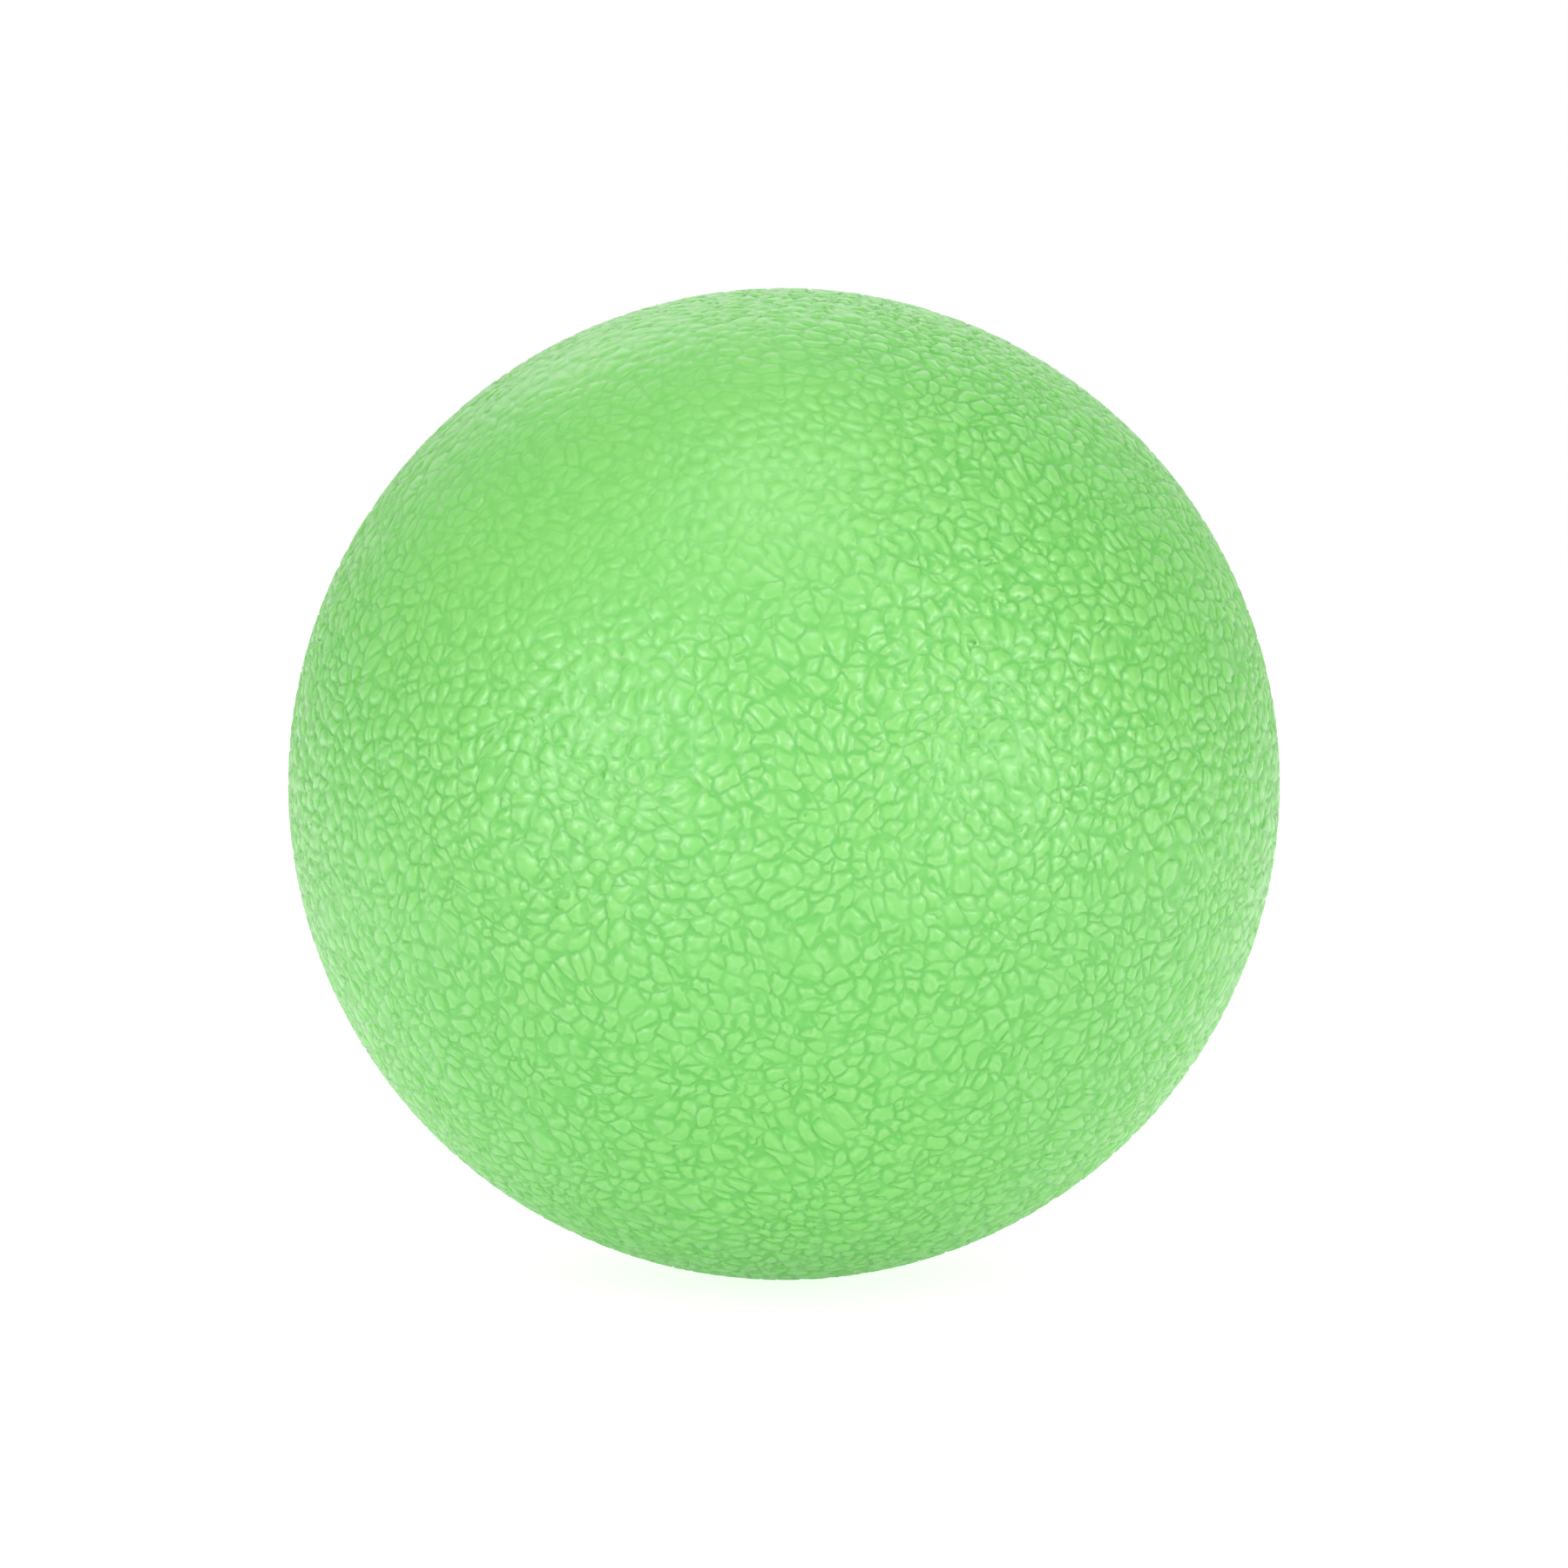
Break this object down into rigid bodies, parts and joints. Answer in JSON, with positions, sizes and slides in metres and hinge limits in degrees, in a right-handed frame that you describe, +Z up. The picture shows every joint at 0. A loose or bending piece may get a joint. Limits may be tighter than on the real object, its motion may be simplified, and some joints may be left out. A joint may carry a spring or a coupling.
{
  "type": "massage ball",
  "caption": "Green elastomer massage ball with a fine leather-like grain: a firm core in soft cushion cups, inside grained skin cups bonded round it at a filled seam.",
  "frame": {"origin": "centre of the ball", "axes": "+Z up, +X to the right, -Y to the front: the parting plane of the cups is the XZ plane and the front cups face -Y"},
  "size_m": [0.063, 0.063, 0.063],
  "materials": {
    "grained_skin": "satin, leather-like moulded grain",
    "seam_bond": "satin, cured bonding rubber",
    "cushion_gel": "matte, soft milky elastomer",
    "core_rubber": "matte, firm moulded rubber"
  },
  "bodies": {
    "root": {"core_ball": "core_rubber", "cushion_front": "cushion_gel", "cushion_rear": "cushion_gel", "skin_front": "grained_skin", "skin_rear": "grained_skin", "seam_bead": "seam_bond"}
  },
  "joints": []
}
